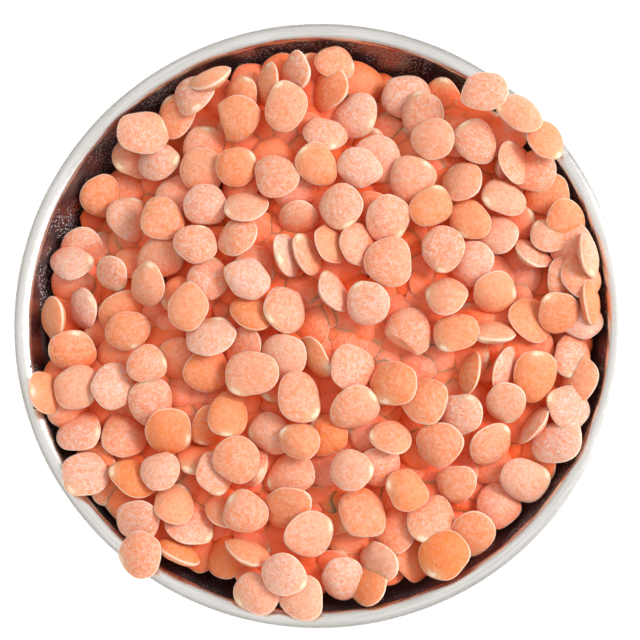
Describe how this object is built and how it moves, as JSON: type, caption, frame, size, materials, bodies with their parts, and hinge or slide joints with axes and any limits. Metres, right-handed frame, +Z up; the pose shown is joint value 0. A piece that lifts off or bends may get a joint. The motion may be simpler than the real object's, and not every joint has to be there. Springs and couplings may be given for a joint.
{
  "type": "bowl of dry lentils",
  "caption": "Small round stainless steel prep bowl with a rolled rim, heaped with dry skinned red lentils.",
  "frame": {"origin": "middle of the bowl's flat base, on the surface that it stands on", "axes": "+Z up, out of the bowl's mouth; -Y is the near side in the picture and +X its right"},
  "size_m": [0.067, 0.067, 0.03],
  "materials": {
    "steel": "satin, lightly scratched",
    "lentil": "dry, matt and floury"
  },
  "bodies": {
    "root": {"bowl": "steel", "lentils": "lentil"}
  },
  "joints": []
}
